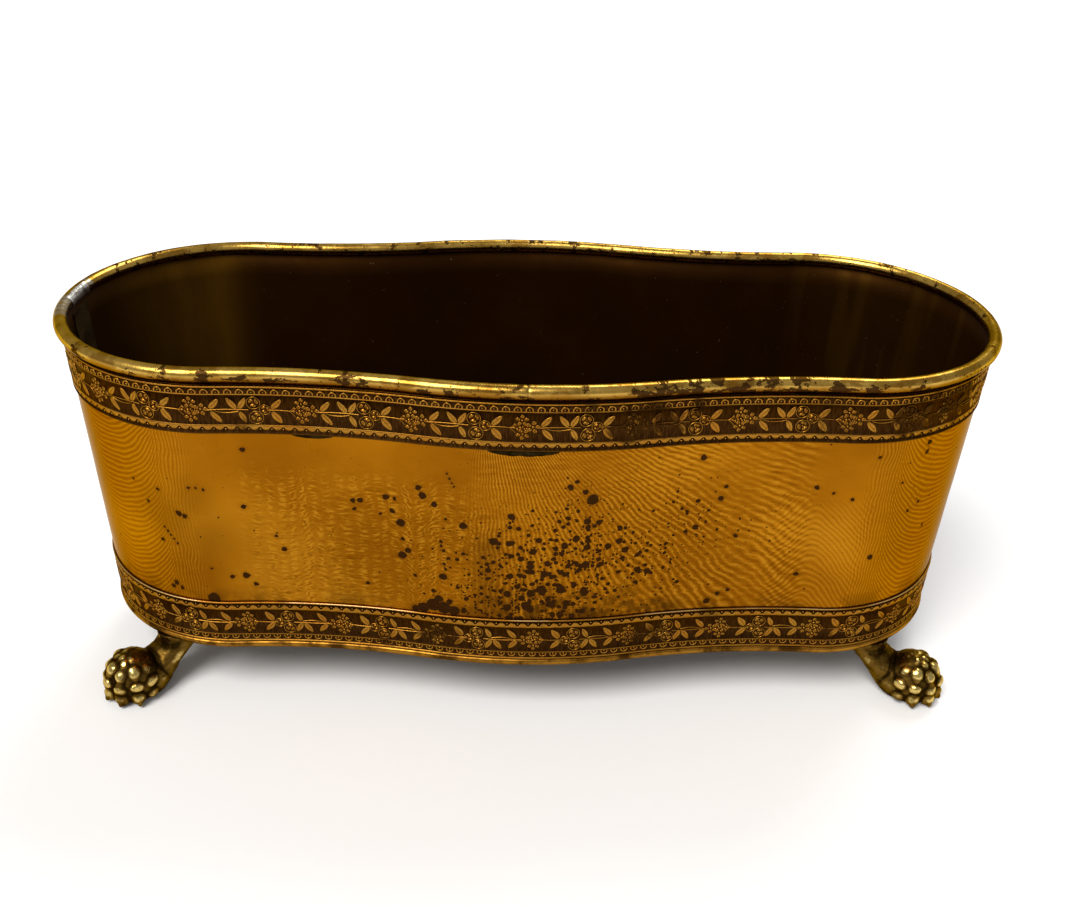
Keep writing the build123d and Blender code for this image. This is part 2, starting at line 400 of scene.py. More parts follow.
relief_gold = (0.33, 0.135, 0.0150)
relief_light = (0.36, 0.170, 0.0220)
relief_dark = (0.095, 0.038, 0.005)
relief_painted_highlight = (0.62, 0.42, 0.17)
ground_brown = (0.028, 0.0100, 0.0022)
ground_light = (0.052, 0.021, 0.0045)
cast_hollow = (0.016, 0.0086, 0.0016)
cast_middle = (0.150, 0.082, 0.0130)
cast_rubbed_highlight = (0.66, 0.48, 0.15)
cast_stain = (0.050, 0.021, 0.003)

# Dark spots on the outside of the wall: along from the middle of the front, height and width, in millimetres.
spot_widths = (
    (-111, 123, 1.6), (-113, 96.5, 1.6), (-140, 92, 2.0), (-137.5, 91, 1.8), (-148, 102, 1.2),
    (-154, 95, 0.9), (-150, 77.5, 1.4), (-148, 84, 0.7), (-146.8, 82.3, 0.7), (-145.6, 80.6, 0.7),
    (-144.3, 78.8, 0.7), (-143, 77, 0.7), (-147, 56, 2.0), (-149, 54, 1.6), (-144.5, 54, 1.4),
    (-120.5, 62, 1.5), (-115, 62.5, 2.2), (-111.5, 58, 1.5), (-99, 76, 1.6), (-101.5, 82.5, 0.8),
    (-130, 50.5, 4.5), (-134, 105, 0.8), (-131, 105, 0.7), (-128, 104.5, 0.7), (-129, 66, 0.8),
    (-160, 104, 0.7), (-70.5, 101.4, 1.6), (-67.5, 101.8, 1.8), (-70, 97.5, 1.1), (-57.5, 104.5, 2.0),
    (-54, 104, 0.9), (-55, 98, 1.6), (-44.5, 110.5, 2.0), (-43, 106.8, 2.4), (-38.5, 103.5, 2.0),
    (-52, 92.8, 2.8), (-52, 77, 2.8), (-49.5, 79.5, 2.0), (-27, 94.5, 2.5), (-27, 81, 1.3),
    (-35, 81.5, 1.2), (-33, 78, 1.3), (-29.5, 78, 1.1), (-35.5, 68.5, 2.6), (-47, 67.5, 1.2),
    (-66.5, 61, 1.2), (-29.5, 63.8, 1.3), (-36, 86, 1.0), (-36, 84, 0.9), (-51.5, 85, 0.9),
    (-60, 96, 0.9), (-35, 75, 1.0), (-34.5, 72.5, 0.9), (-33, 118, 0.6), (-32, 116, 0.6),
    (-31.3, 114.3, 0.6), (-30.5, 112.5, 0.7), (-34, 97, 0.9), (-44, 51.5, 4.0), (-40, 53.5, 5.0),
    (-35.5, 52.5, 5.0), (-31, 51.5, 4.0), (-37.5, 57, 3.0), (-47.5, 50.5, 2.4), (-33, 56, 2.0),
    (-27, 52, 2.0), (-15, 88, 2.8), (-8, 100, 2.2), (-8.5, 95, 1.3), (-5, 94.5, 1.5), (-1, 91.5, 1.3),
    (-7, 88, 1.3), (-4, 85.5, 1.5), (1, 83.5, 2.4), (3, 89, 2.0), (-13, 85, 1.2), (-8, 81, 1.4),
    (-19, 80, 1.3), (11, 98, 1.2), (14.5, 99.5, 1.2), (14.5, 97, 1.1), (10, 85, 1.8), (9.5, 80, 1.6),
    (0, 78, 1.8), (7, 77.5, 2.0), (15.5, 76.5, 2.0), (-1, 73.5, 1.7), (-4, 71.5, 1.6), (6, 72.5, 2.6),
    (9, 71, 1.8), (12.5, 73, 1.8), (12, 66.5, 1.8), (13, 64.5, 3.2), (5, 64.5, 3.4), (-1, 56, 3.6),
    (23, 62.3, 2.6), (9, 57, 2.6), (15.5, 57.5, 2.4), (-9, 62, 2.4), (-5, 66, 2.0), (-9, 55, 2.8),
    (-3, 60, 2.2), (14.5, 114, 2.0), (17, 116.5, 1.2), (20.5, 111.5, 2.0), (23.5, 108, 4.0),
    (22.5, 95, 1.6), (25, 95.5, 1.4), (35.5, 87.5, 2.3), (38.5, 83, 2.4), (29, 76.5, 1.6),
    (36.5, 72, 1.6), (37.5, 79, 1.6), (20.5, 75.5, 1.5), (19.5, 73.5, 1.4), (66, 124, 1.8),
    (75, 104.5, 1.8), (76.5, 110, 1.3), (56, 104, 0.9), (60, 100.5, 1.1), (62, 99, 1.0),
    (112, 109.5, 1.5), (83, 86, 1.2), (141, 74.5, 2.0), (110, 66.5, 1.6), (75, 53, 2.2), (79, 56.5, 1.5),
    (83, 58.5, 1.1), (157.5, 127, 1.8), (157.5, 122.5, 1.5), (135, 123.5, 0.9), (155, 95, 1.0),
    (30, 69, 1.2), (27, 60, 1.4), (44, 66, 1.2), (55, 84, 1.3), (41, 91, 1.0), (148, 110, 0.8),
    (127, 104, 0.9), (119, 107, 0.9), (160, 98, 1.0), (168, 84, 0.9), (300, 120, 1.6), (322, 70, 2.2),
    (330, 66, 1.6), (395, 92, 2.6), (402, 84, 1.8), (388, 60, 3.0), (396, 56, 2.2), (-300, 58, 3.2),
    (-306, 54, 2.4), (-322, 88, 2.0), (-350, 104, 1.6), (-268, 96, 1.4),
)
wall_spots = in_metres(*((along, up, 0.55 * width + 0.25) for along, up, width in spot_widths))
# Middles of the zones where small specks crowd together, with how far each reaches.
speck_zones = in_metres(
    (2, 60, 54), (20, 78, 46), (44, 72, 34), (-36, 62, 22), (64, 92, 28), (-44, 96, 8), (98, 90, 14),
    (160, 104, 10), (-158, 88, 6), (395, 80, 34), (-320, 70, 34),
)
# Brown that rose from the lower strip, a smear left of the middle, and painted shade on a place on the left.
low_places = in_metres((-8, 50, 12), (6, 50, 14), (22, 50, 13), (38, 50, 11), (52, 50, 9))
smear_places = in_metres(*((-18, up, 6) for up in (54, 60, 66, 72, 78, 84)))
shade_places = in_metres((-146, 92, 12), (-134, 100, 9), (-128, 84, 9))

# Brown tarnish on the rolled lip: along from the middle of the front, height, radius.
lip_stains = in_metres(
    (-122, 156, 2.2), (-70, 157, 2.6), (-63, 155, 2.2), (-40, 153, 1.8), (-8, 154, 2.6), (20, 153.5, 1.6),
    (40, 154, 4.0), (48, 155, 5.0), (57, 154, 4.5), (66, 156, 4.0), (76, 154, 4.0), (88, 154, 3.0),
    (100, 154, 4.2), (113, 154, 3.4), (126, 154, 2.8), (145, 153, 2.6), (-150, 154, 1.4), (-176, 155, 2.4),
    (-200, 153, 2.0), (-136, 155, 1.6), (-108, 155, 1.2),
    (-30, 156, 1.4), (86, 157, 1.8), (-96, 153, 1.6),
)
# Places where the strips have lost their gold.
upper_worn = in_metres(
    (34, 141, 7.5), (44, 142, 8.0), (53, 140, 5.0), (60, 147, 4.0), (142, 140, 8.0), (155, 141, 9.0),
    (168, 143, 8.0), (-110, 134, 3.0), (-204, 141, 7.0), (20, 148, 3.0), (300, 141, 12.0), (-380, 140, 14.0),
)
lower_worn = in_metres(
    (-38, 39, 4.5), (-32, 38, 3.5), (-60, 33, 2.5), (52, 39, 3.5), (46, 37, 3.0), (128, 38, 2.5),
    (-190, 39, 6.0), (330, 39, 12.0), (-300, 38, 11.0),
)

# How fast the lines of the painted reflection run: radians a radian for the fan, radians a metre for the
# rest.
fan_rate = 262.0
chevron_rate = 2250.0
ripple_rate = 2500.0
arc_rate = 2700.0
upright_rate = 4300.0
# Where the patterns are placed on the wall, in metres.
fan_left = -0.020
fan_height = 0.165
chevron_peak = 0.1135
column_width = 0.0050
arc_middle = 0.173
arc_half_width = 0.038


def fan_reflection(look, along, up, waver, waver_fine):
    """Lines of the painted reflection that spread down to the right from above the middle."""
    fan = look.math("ARCTAN2", look.plus(along, -fan_left), look.minus(fan_height, up))
    fan = look.times_plus(waver, 0.075, fan)
    fan = look.times_plus(waver_fine, 0.018, fan)
    return look.waves(fan, fan_rate), look.between(along, (-0.032, -0.014), (0.120, 0.098))


def chevron_reflection(look, along, up, waver):
    """Nested chevrons of the painted reflection near the right-hand end."""
    peak = look.minus(along, chevron_peak)
    peak = look.math("SQRT", look.times_plus(peak, peak, 9e-6))
    chevron = look.times_plus(peak, 1.1, look.times_plus(waver, 0.009, up))
    zone = look.between(along, (0.094, 0.104), (0.140, 0.130))
    return look.waves(chevron, chevron_rate), look.times(zone, look.step(up, 0.112, 0.092))


def column_reflection(look, place, along, up, waver_fine):
    """Bent columns of short ripples in the painted reflection, on the left."""
    bend = look.noise(look.stretch(place, 1.0, 0.35), 38.0, 2.0)
    column = look.times_plus(bend, 2.6, look.times(along, 1 / column_width))
    cell = look.math("FLOOR", column)
    within = look.minus(look.minus(column, cell), 0.5)
    chance = look.noise(look.join(look.times(cell, 3.71), 0.5), 1.0, 0.0)
    lean = look.times(look.minus(chance, 0.5), 0.020)
    ripple_up = look.times_plus(within, lean, look.times_plus(waver_fine, 0.0075, up))
    ripple_up = look.times_plus(chance, 0.0095, ripple_up)
    window = look.step(look.math("ABSOLUTE", within), 0.52, 0.10)
    zone = look.between(along, (-0.124, -0.104), (-0.012, -0.030))
    window = look.times_plus(window, 0.65, 0.35)
    ripples = look.times(look.waves(ripple_up, ripple_rate), window)
    lines = look.times_plus(look.minus(window, 0.6), 0.55, ripples)
    return lines, look.times(zone, look.step(up, 0.122, 0.104))


def end_reflection(look, away, up, waver, waver_fine):
    """Hanging arcs of the painted reflection round each end lobe."""
    across = look.math("DIVIDE", look.minus(away, arc_middle), arc_half_width)
    bowl = look.minus(1.0, look.times(across, across))
    bowl = look.math("LOGARITHM", look.larger(bowl, 0.012), 2.718)
    arcs_up = look.times_plus(bowl, 0.026, up)
    arcs_up = look.times_plus(waver, 0.006, arcs_up)
    arcs_up = look.times_plus(waver_fine, 0.0008, arcs_up)
    return look.waves(arcs_up, arc_rate), look.between(away, (0.140, 0.150), (0.218, 0.205))


def wall_reflection_lines(look, along, up):
    """Painted reflection of wood grain as fine lines, about 0 on average. The patterns differ along the wall.
    """
    place = look.join(along, up)
    waver = look.noise(place, 45.0, 2.0)
    waver_fine = look.noise(look.stretch(place, 1.0, 2.5), 190.0, 2.0)
    away = look.math("ABSOLUTE", along)
    uneven = look.times_plus(look.patches(place, 30.0, 2.0, 0.30, 0.60), 0.75, 0.60)
    fan_lines, at_fan = fan_reflection(look, along, up, waver, waver_fine)
    column_lines, at_columns = column_reflection(look, place, along, up, waver_fine)
    upright_lines = look.waves(look.times_plus(waver, 0.007, along), upright_rate)
    at_uprights = look.between(away, (0.128, 0.137), (0.151, 0.142))
    lines = look.times(fan_lines, look.times(at_fan, uneven))
    for (pattern, zone), strength in (
        (chevron_reflection(look, along, up, waver), 0.80),
        ((column_lines, look.times(at_columns, uneven)), 0.90),
        (end_reflection(look, away, up, waver, waver_fine), 1.00),
        ((upright_lines, at_uprights), 0.85),
    ):
        lines = look.times_plus(pattern, look.times(zone, strength), lines)
    ripple = look.noise(look.stretch(place, 1.0, 4.5), 120.0, 2.0, 0.6, 0.6)
    ripple = look.times(look.minus(ripple, 0.5), 2.0)
    busy = look.plus(at_fan, at_columns)
    return look.times_plus(ripple, look.times_plus(busy, 0.80, 0.40), lines)


def wall_specks(look, place):
    """Small dark specks in three sizes of cell, most of them in the crowded zones."""
    crowd = look.step(look.spots(place, speck_zones), -10 * MM, 52 * MM)
    specks = None
    for cell, least, most in ((4.4 * MM, 0.12, 0.30), (2.5 * MM, 0.12, 0.34), (1.4 * MM, 0.14, 0.30)):
        distance, random = look.cells(look.wander(place, 700.0, 0.6 * MM), 1 / cell)
        chosen = look.minus(look.times_plus(crowd, 0.50, 0.012), random)
        size = look.times(look.step(chosen, 0.0, 0.4), most)
        size = look.times(look.plus(size, least), look.math("GREATER_THAN", chosen, 0.0))
        dot = look.step(look.minus(size, distance), 0.0, 0.06)
        specks = dot if specks is None else look.larger(specks, dot)
    return specks


def wall_outside_look():
    """Polished amber brass with a painted reflection of wood grain in fine lines, dark tarnish spots and a
    painted shadow under the lip.
    """
    look = Look("wall_polished_brass")
    along, up, place = look.on_wall()
    cloud = look.noise(place, 18.0, 4.0)
    colour = look.mix(look.step(cloud, 0.30, 0.72), deep_amber, amber)
    colour = look.mix(look.patches(place, 9.0, 2.0, 0.52, 0.75), colour, pale_amber)
    # Painted reflection: fine lines darken and lighten the wall's colour.
    reflection_tone = look.times_plus(wall_reflection_lines(look, along, up), 0.17, 0.5, clamp=True)
    colour = look.paint(colour, look.step(reflection_tone, 0.5, 0.2), 0.75, reflection_dark)
    colour = look.paint(colour, look.step(reflection_tone, 0.5, 0.8), 0.60, reflection_bright)
    ragged = look.wander(place, 420.0, 1.5 * MM)
    spots = look.spots(ragged, wall_spots)
    dark = look.larger(look.step(spots, -0.1 * MM, 0.12 * MM), wall_specks(look, place))
    colour = look.paint(colour, look.step(spots, -1.6 * MM, 0.0), 0.25, halo_brown)
    foot = look.times(look.step(up, 0.060, 0.049), look.patches(place, 60.0, 3.0, 0.42, 0.6))
    colour = look.paint(colour, foot, 0.55, foot_brown)
    low_brown = look.zone(place, 110.0, 12 * MM, low_places, -5 * MM, 5 * MM)
    low_brown = look.times(low_brown, look.patches(place, 150.0, 4.0, 0.40, 0.58))
    colour = look.paint(colour, low_brown, 0.70, low_stain)
    # Painted shade: a darker amber over a place on the left of the wall.
    shade = look.zone(place, 40.0, 14 * MM, shade_places, -9 * MM, 9 * MM)
    colour = look.paint(colour, shade, 0.40, shade_amber)
    smear = look.step(look.spots(ragged, smear_places), -5 * MM, 7 * MM)
    colour = look.paint(colour, smear, 0.5, smear_brown)
    colour = look.mix(dark, colour, look.mix(look.noise(place, 500.0), tarnish, tarnish_brown))
    colour = look.paint(colour, look.step(up, 150.4 * MM, 151.2 * MM), 0.93, gap_shadow)
    roughness = look.blend(dark, look.times_plus(cloud, 0.10, 0.22), 0.50)
    bumps = ((look.noise(place, 22.0, 2.0), 0.35, 0.6 * MM), (look.minus(1.0, dark), 0.4, 0.05 * MM))
    return look.finish(colour, 1.0, roughness, bumps, brass_edge)


def wall_inside_look():
    """Dark brown to black patina inside, olive-brown towards the left-hand end."""
    look = Look("wall_dark_patina")
    place = look.place()
    across = look.parts(place)[0]
    cloud = look.noise(place, 24.0, 5.0, 0.6)
    streak = look.noise(look.stretch(place, 1.0, 1.0, 0.18), 90.0, 4.0)
    olive_end = look.between(across, (-0.130, -0.143), (-0.190, -0.166))
    soft_streak = look.times_plus(look.step(streak, 0.2, 0.7), 0.5, 0.5)
    colour = look.mix(look.step(cloud, 0.35, 0.7), patina, patina_cloud)
    colour = look.paint(colour, look.step(across, -0.120, -0.136), 0.5, patina_left)
    colour = look.paint(colour, olive_end, soft_streak, olive)
    right_streak = look.patches(look.stretch(place, 1.0, 1.0, 0.08), 75.0, 2.0, 0.46, 0.60)
    right_end = look.times(look.step(across, 0.100, 0.150), look.times_plus(right_streak, 1.2, 0.3))
    colour = look.paint(colour, right_end, 0.5, patina_right)
    colour = look.paint(colour, look.patches(place, 620.0, 1.0, 0.76, 0.80), 0.35, patina_speck)
    roughness = look.times_plus(streak, 0.25, 0.34)
    bumps = ((streak, 0.25, 0.2 * MM), (cloud, 0.3, 0.8 * MM))
    look.shader.inputs["Specular IOR Level"].default_value = 0.08
    return look.finish(colour, 0.35, roughness, bumps, patina_edge)


def lip_look():
    """Rubbed bright brass on the rolled lip, with painted shade making it browner below, and mottled with old
    tarnish.
    """
    look = Look("lip_rubbed_brass")
    _, up, place = look.on_wall()
    solid = look.place()
    cloud = look.noise(solid, 60.0, 5.0, 0.62)
    low = look.step(up, lip_z + 0.9 * MM, lip_z - 1.0 * MM)
    colour = look.mix(look.step(cloud, 0.38, 0.66), bright_gold, rubbed_gold)
    # Painted shade: the lower side of the roll turns browner.
    colour = look.paint(colour, low, 0.85, lip_underside_shade)
    fine = look.noise(solid, 330.0, 4.0, 0.65)
    worn = look.times(look.step(fine, 0.56, 0.66), look.step(cloud, 0.42, 0.62))
    colour = look.paint(colour, worn, 0.80, worn_brown)
    zone = look.zone(place, 120.0, 6 * MM, lip_stains, -5 * MM, 2 * MM)
    patch = look.noise(look.stretch(place, 1.0, 1.7), 210.0, 5.0, 0.62)
    at_rear = look.step(look.parts(solid)[1], 0.005, 0.040)
    for where, push in ((zone, 0.15), (low, 0.030), (at_rear, 0.055)):
        patch = look.times_plus(where, push, patch)
    stain = look.step(patch, 0.610, 0.645)
    colour = look.paint(colour, stain, 0.95, stain_brown)
    amber_patch = look.patches(look.stretch(place, 0.5, 1.0), 130.0, 4.0, 0.54, 0.60)
    colour = look.paint(colour, look.times(amber_patch, look.minus(1.0, stain)), 0.6, old_amber)
    wiped_places = [
        (seam_distance + offset * MM, lip_z + 1.6 * MM, 2.0 * MM) for offset in (-11, 8, 12, 16, 20, 24)
    ]
    wiped = look.zone(place, 200.0, 3 * MM, wiped_places, -1.2 * MM, 0.9 * MM)
    wiped = look.times(wiped, look.patches(place, 420.0, 3.0, 0.34, 0.50))
    colour = look.paint(colour, wiped, 0.85, wiped_solder)
    roughness = look.blend(look.larger(stain, worn), look.times_plus(fine, 0.22, 0.14), 0.42)
    bumps = ((fine, 0.25, 0.12 * MM), (cloud, 0.3, 0.7 * MM), (look.minus(1.0, stain), 0.4, 0.05 * MM))
    return look.finish(colour, 1.0, roughness, bumps, brass_edge)


def strip_look(name, worn_places):
    """Embossed strip: gold on the raised work, dark brown ground, blackened where it is worn, and a painted
    highlight where it looks raised past 1.02.
    """
    look = Look(name)
    place = look.on_wall()[2]
    raised = look.attribute("raised")
    fine = look.noise(place, 900.0, 3.0)
    ground = look.patches(look.stretch(place, 1.0, 0.15), 1500.0, 2.0, 0.4, 0.65)
    ground = look.mix(ground, ground_brown, ground_light)
    gold = look.mix(look.patches(place, 60.0, 4.0, 0.35, 0.65), relief_gold, relief_light)
    gold = look.paint(gold, look.step(fine, 0.55, 0.7), 0.6, relief_dark)
    worn = look.zone(place, 90.0, 16 * MM, worn_places, -2.5 * MM, 2.0 * MM)
    chipped = look.patches(place, 330.0, 4.0, 0.60, 0.53)
    worn = look.times(worn, look.times_plus(chipped, 0.45, 0.55))
    dulled = look.patches(place, 30.0, 3.0, 0.57, 0.70)
    show = look.step(raised, 0.30, 0.62)
    for fault, strength in ((worn, 0.92), (dulled, 0.5)):
        show = look.times(show, look.minus(1.0, look.times(fault, strength)))
    # Painted highlight: where the raised value passes 1.02, in patches, the gold turns pale.
    painted_highlight = look.times(look.step(raised, 1.02, 1.15), look.patches(place, 34.0, 3.0, 0.44, 0.58))
    gold = look.mix(painted_highlight, gold, relief_painted_highlight)
    colour = look.mix(show, ground, gold)
    roughness = look.blend(show, 0.45, look.times_plus(fine, 0.2, 0.24))
    return look.finish(colour, 1.0, roughness, ((fine, 0.2, 0.08 * MM),), brass_edge)


def cast_look():
    """Cast brass: bright and yellow where it is rubbed and as a painted highlight on the proudest knuckles,
    dark olive in the hollows.
    """
    look = Look("cast_brass")
    place = look.place()
    cloud = look.noise(place, 190.0, 5.0, 0.64)
    fine = look.noise(place, 900.0, 3.0)
    proud = look.times_plus(look.minus(cloud, 0.5), 0.85, look.attribute("raised"))
    colour = look.mix(look.step(proud, 0.34, 0.72), cast_hollow, cast_middle)
    # The proudest knuckles turn bright yellow: rubbed brass, and partly a painted highlight.
    colour = look.mix(look.step(proud, 0.74, 0.98), colour, cast_rubbed_highlight)
    colour = look.paint(colour, look.step(fine, 0.54, 0.68), 0.5, cast_stain)
    roughness = look.blend(look.step(proud, 0.3, 0.85), 0.55, 0.24)
    bumps = ((fine, 0.35, 0.15 * MM), (cloud, 0.4, 0.5 * MM))
    return look.finish(colour, 1.0, roughness, bumps, brass_edge)


def bead_look():
    """Thin base bead: yellow brass with brown in patches."""
    look = Look("bead_brass")
    cloud = look.noise(look.place(), 90.0, 5.0, 0.65)
    colour = look.mix(look.step(cloud, 0.40, 0.62), (0.34, 0.155, 0.018), (0.065, 0.026, 0.004))
    roughness = look.times_plus(cloud, 0.25, 0.2)
    return look.finish(colour, 1.0, roughness, ((cloud, 0.3, 0.3 * MM),), brass_edge)


def dull_look(name, dark, light, metallic, rough, scale, edge=None):
    """A dull mottled metal between two colours, for the parts that are seldom seen."""
    look = Look(name)
    place = look.place()
    cloud = look.noise(place, scale, 5.0, 0.62)
    fine = look.noise(place, 9 * scale, 3.0)
    colour = look.mix(look.step(cloud, 0.34, 0.68), dark, light)
    roughness = look.times_plus(fine, 0.25, rough)
    return look.finish(colour, metallic, roughness, ((fine, 0.3, 0.1 * MM), (cloud, 0.3, 0.4 * MM)), edge)


# ---- Body ----


def make_wall():
    """The sheet wall with its two faces, open at the closing seam."""
    around = 760
    rows = 14
    distances = seam_distance + hairline / 2 + np.linspace(0, round_lip - hairline, around)
    heights = np.linspace(wall_low.z, wall_high.z, rows)
    soft = np.sin(np.linspace(0, pi, rows))
    dents = 0.22 * MM * lumps(distances[:, None], heights, 0.045, 3.0)
    outer = wall_inset(heights)[None, :] + np.abs(dents) * soft
    inner = outer + wall_thickness
    insets = np.concatenate([outer, inner[:, ::-1]], axis=1)
    levels = np.concatenate([heights, heights[::-1]])
    wall = make_sweep(
        "wall_sheet_polished", distances, insets, levels,
        wall_outside_look(), "wall_sheet", "wall_brass", round_columns=True,
    )
    set_attributes(wall, along=np.repeat(distances, 2 * rows), up=np.tile(levels, around))
    wall.data.materials.append(wall_inside_look())
    column = np.arange(len(wall.data.polygons)) % (2 * rows)
    wall.data.polygons.foreach_set("material_index", (column >= rows - 1).astype(np.int32))


def make_rim():
    """The rolled lip, a little dented and worn, with its butt joint at the front."""
    section = 28
    away = hairline / 2 + (round_lip - hairline) * np.linspace(0, 1, 1100)
    near_joint = hairline / 2 + np.array([0.1, 0.25, 0.5, 0.9]) * MM
    away = np.sort(np.concatenate([away, near_joint, round_lip - near_joint]))
    distances = lip_joint_x + away
    turn = np.linspace(0, 2 * pi, section, endpoint=False)
    level = lip_z + lip_radius * np.sin(turn)
    wear = 0.10 * MM * (1 + lumps(distances[:, None], level, 0.018, 11.0))
    wear = wear + 0.05 * MM * (1 + lumps(distances[:, None], level, 0.005, 12.0))
    to_joint = np.minimum(away, round_lip - away)[:, None]
    wear = wear + 0.35 * MM * np.exp(-to_joint / (0.35 * MM))
    reach = lip_radius - np.maximum(wear, 0)
    insets = -reach * np.cos(turn)
    heights = lip_z + reach * np.sin(turn)
    rim = make_sweep(
        "rim_roll_rubbed", distances, insets, heights,
        lip_look(), "rim_roll", "lip_brass", round_columns=True,
    )
    distances = np.where(distances > round_lip / 2, distances - round_lip, distances)
    set_attributes(rim, along=np.repeat(distances, section), up=heights.ravel())


def make_rim_repair():
    """Lumpy silvery solder over the top and the inner side of the lip, at the left-hand end."""
    half = (repair_high.y - repair_low.y) / 2
    distances = np.linspace(seam_distance - half, seam_distance + half, 70)
    turn = np.radians(np.linspace(104, 215, 26))
    along = distances[:, None]
    side = np.clip(1 - ((turn - radians(158)) / radians(54)) ** 2, 0, 1)
    swell = (1 - ((along - seam_distance) / half) ** 2) * side
    height = swell + 0.35 * lumps(along, 0.02 * turn, 0.0022, 5.0) * np.sqrt(np.maximum(swell, 0))
    reach = lip_radius + 0.9 * repair_thickness * np.clip(height, -0.25, 1.0)
    insets = -reach * np.cos(turn)
    heights = lip_z + reach * np.sin(turn)
    look = dull_look("soft_solder", (0.20, 0.17, 0.13), (0.80, 0.79, 0.74), 0.9, 0.22, 260.0)
    make_sweep("rim_repair_solder_lumps", distances, insets, heights, look, "rim_repair_solder", "solder")


# ---- Embossed strips ----

# Strip section from its foot up, in millimetres, as in the CAD.
edge_line_width = 0.7
scallop_row_width = 3.3
inner_line_foot = 16.7
arch_row_foot = 17.2
top_bead_foot = 19.7
strip_sheet = 0.5
strip_bead = 1.0
relief_foot = strip_sheet - 0.03
strip_top = strip_width / MM
field_middle = (edge_line_width + scallop_row_width + inner_line_foot) / 2
motifs = 22


class Relief:
    """Raised work on a strip: along, up and out in millimetres, and how raised each point looks."""

    def __init__(self):
        self.points = []
        self.faces = []
        self.raised = []
        self.count = 0

    def grid(self, flat, out, raised, round_rows=False, round_columns=False):
        """Adds a grid of (along, up) points. out and raised broadcast over it."""
        rows, columns = shape = flat.shape[:2]
        self.faces.append(grid_faces(rows, columns, round_rows, round_columns) + self.count)
        points = np.concatenate([flat, np.broadcast_to(out, shape)[:, :, None]], axis=2)
        self.points.append(points.reshape(-1, 3))
        self.raised.append(np.broadcast_to(raised, shape).ravel())
        self.count += rows * columns

    def ridge(self, path, width, height, closed=False):
        """A half-round line along a path of (along, up) points."""
        path = np.asarray(path, float)
        if closed:
            forward = np.roll(path, -1, axis=0) - np.roll(path, 1, axis=0)
        else:
            forward = np.gradient(path, axis=0)
        side = np.stack([-forward[:, 1], forward[:, 0]], axis=1) / np.linalg.norm(forward, axis=1)[:, None]
        across = np.array([-0.5, -0.28, 0.28, 0.5]) * width
        rise = np.array([0.0, 1.0, 1.0, 0.0])
        flat = path[:, None, :] + side[:, None, :] * across[None, :, None]
        self.grid(flat, relief_foot + height * rise, rise, round_rows=closed)

    def dome(self, centre, size, height, turn=0.0, segments=8):
        """A low rounded boss, size being its two half widths."""
        reach = np.array([1.0, 0.78, 0.36])[:, None]
        flat = directions(np.linspace(0, 2 * pi, segments, endpoint=False)) * size
        spin = np.array([[cos(turn), sin(turn)], [-sin(turn), cos(turn)]])
        flat = (reach[:, :, None] * flat) @ spin + np.asarray(centre)
        inner = self.count + 2 * segments
        out = relief_foot + height * np.sqrt(1 - reach**2)
        self.grid(flat, out, np.array([[0.0], [0.8], [1.0]]), round_columns=True)
        fan = [(inner + i, inner + (i + 1) % segments, self.count) for i in range(segments)]
        self.points.append(np.array([[*centre, strip_sheet + height]]))
        self.raised.append(np.array([1.0]))
        self.count += 1
        self.faces.append(fan)

    def leaf(self, base, tip, width):
        """A pointed leaf with a raised edge on each side of a sunk midrib."""
        share = np.linspace(0, 1, 9)
        spine = np.asarray(base) + share[:, None] * (np.asarray(tip) - np.asarray(base))
        run = np.asarray(tip) - np.asarray(base)
        side = np.array([-run[1], run[0]]) / np.hypot(*run)
        half = 0.5 * width * np.sin(pi * share**0.85) ** 0.85
        across = np.array([-1.0, -0.8, -0.16, 0.0, 0.16, 0.8, 1.0])
        rise = np.array([0.0, 1.0, 0.85, 0.25, 0.85, 1.0, 0.0])
        flat = spine[:, None, :] + side * (half[:, None] * across)[:, :, None]
        swell = np.maximum(np.sin(pi * share), 0.0)[:, None] ** 0.4
        self.grid(flat, relief_foot + 0.40 * rise * swell, rise * np.minimum(1.0, 1.6 * swell))

    def petals(self, centre, count, reach, size, height, turn, segments):
        """A ring of domes round a centre."""
        for petal in range(count):
            angle = turn + petal * 2 * pi / count
            at = np.asarray(centre) + reach * np.array([cos(angle), sin(angle)])
            self.dome(at, size, height, angle, segments)

    def rose(self, centre, radius, turn):
        """A full rose: three curved petals round a small bud, inside a thin ring."""
        circle = directions(np.linspace(0, 2 * pi, 22, endpoint=False))
        self.ridge(np.asarray(centre) + 0.97 * radius * circle, 0.26, 0.34, closed=True)
        self.petals(centre, 3, 0.47 * radius, (0.30 * radius, 0.46 * radius), 0.42, turn, 12)
        self.dome(centre, (0.17 * radius, 0.17 * radius), 0.50)

    def blossom(self, centre, radius, turn):
        """A five-petalled flower with a round eye."""
        self.petals(centre, 5, 0.62 * radius, (0.36 * radius, 0.31 * radius), 0.38, turn, 9)
        self.dome(centre, (0.20 * radius, 0.20 * radius), 0.44)


